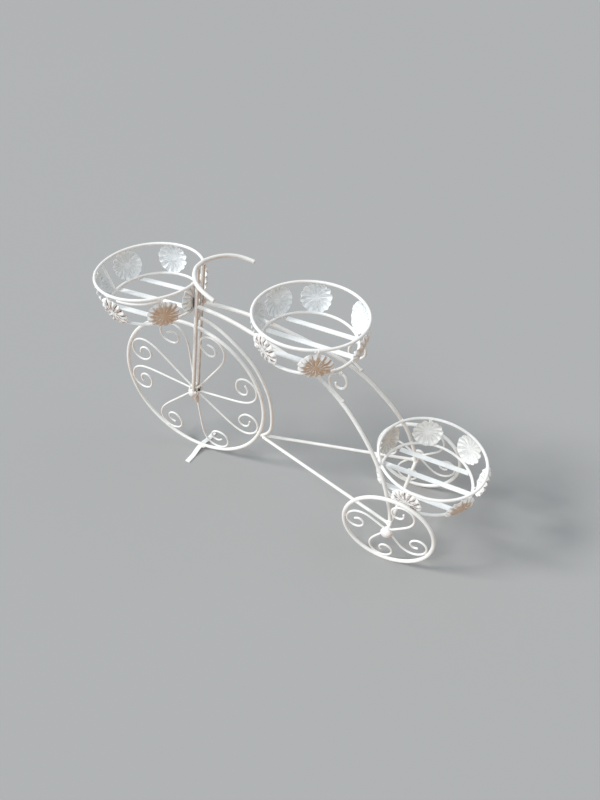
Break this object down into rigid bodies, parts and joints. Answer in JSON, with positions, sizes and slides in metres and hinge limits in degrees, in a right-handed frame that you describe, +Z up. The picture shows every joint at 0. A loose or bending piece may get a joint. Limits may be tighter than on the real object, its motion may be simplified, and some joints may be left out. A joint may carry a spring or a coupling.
{
  "type": "bicycle planter",
  "caption": "White wire bicycle plant stand: a tall front wheel, two small rear wheels and round pot baskets with slatted bottoms and stamped flowers on an arched frame.",
  "frame": {"origin": "centre of the bounding box on the ground plane", "axes": "+X along the stand towards its back (the bicycle points to -X), +Y towards its right-hand side, +Z up"},
  "size_m": [0.8324, 0.2446, 0.5241],
  "materials": {
    "frame_enamel": "semi-gloss white enamel over steel rod",
    "fork_enamel": "semi-gloss white enamel over steel rod",
    "rim_enamel": "semi-gloss white enamel over steel rod",
    "scroll_wire_enamel": "semi-gloss white enamel over steel rod",
    "cap_enamel": "semi-gloss white enamel over steel rod",
    "basket_ring_enamel": "semi-gloss white enamel over steel rod",
    "flat_bar_enamel": "gloss white enamel on flat steel bar",
    "flower_enamel": "semi-gloss white enamel on stamped sheet steel"
  },
  "bodies": {
    "frame": {"front_wheel_rim": "rim_enamel", "front_wheel_spokes": "scroll_wire_enamel", "front_axle": "frame_enamel", "front_axle_cap_left": "cap_enamel", "front_axle_cap_right": "cap_enamel", "fork_rod_left": "fork_enamel", "fork_rod_right": "fork_enamel", "handlebar": "frame_enamel", "frame_rod_left": "frame_enamel", "frame_rod_right": "frame_enamel", "mudguard_rod": "frame_enamel", "stay_left": "frame_enamel", "stay_right": "frame_enamel", "scroll_brace_left": "scroll_wire_enamel", "scroll_brace_right": "scroll_wire_enamel", "rear_axle": "frame_enamel", "rear_axle_cap_left": "cap_enamel", "rear_axle_cap_right": "cap_enamel", "front_foot": "flat_bar_enamel", "front_basket_bottom_ring": "basket_ring_enamel", "front_basket_top_ring": "basket_ring_enamel", "front_basket_slat_left": "flat_bar_enamel", "front_basket_slat_middle": "flat_bar_enamel", "front_basket_slat_right": "flat_bar_enamel", "front_basket_flower_1": "flower_enamel", "front_basket_flower_2": "flower_enamel", "front_basket_flower_3": "flower_enamel", "front_basket_flower_4": "flower_enamel", "front_basket_flower_5": "flower_enamel", "front_basket_flower_6": "flower_enamel", "front_basket_flower_7": "flower_enamel", "middle_basket_bottom_ring": "basket_ring_enamel", "middle_basket_top_ring": "basket_ring_enamel", "middle_basket_slat_left": "flat_bar_enamel", "middle_basket_slat_middle": "flat_bar_enamel", "middle_basket_slat_right": "flat_bar_enamel", "middle_basket_flower_1": "flower_enamel", "middle_basket_flower_2": "flower_enamel", "middle_basket_flower_3": "flower_enamel", "middle_basket_flower_4": "flower_enamel", "middle_basket_flower_5": "flower_enamel", "middle_basket_flower_6": "flower_enamel", "middle_basket_flower_7": "flower_enamel", "rear_basket_bottom_ring": "basket_ring_enamel", "rear_basket_top_ring": "basket_ring_enamel", "rear_basket_slat_left": "flat_bar_enamel", "rear_basket_slat_middle": "flat_bar_enamel", "rear_basket_slat_right": "flat_bar_enamel", "rear_basket_flower_1": "flower_enamel", "rear_basket_flower_2": "flower_enamel", "rear_basket_flower_3": "flower_enamel", "rear_basket_flower_4": "flower_enamel", "rear_basket_flower_5": "flower_enamel", "rear_basket_flower_6": "flower_enamel", "rear_basket_flower_7": "flower_enamel", "front_basket_strut": "flat_bar_enamel"},
    "rear_wheel_left": {"rear_wheel_rim_left": "rim_enamel", "rear_wheel_spokes_left": "scroll_wire_enamel"},
    "rear_wheel_right": {"rear_wheel_rim_right": "rim_enamel", "rear_wheel_spokes_right": "scroll_wire_enamel"}
  },
  "joints": [
    {"name": "rear_wheel_left_spin", "type": "hinge", "parent": "frame", "child": "rear_wheel_left", "pos_m": [0.26273, -0.108, 0.096], "axis": [0, 1, 0], "continuous": true},
    {"name": "rear_wheel_right_spin", "type": "hinge", "parent": "frame", "child": "rear_wheel_right", "pos_m": [0.26273, 0.108, 0.096], "axis": [0, 1, 0], "continuous": true}
  ]
}
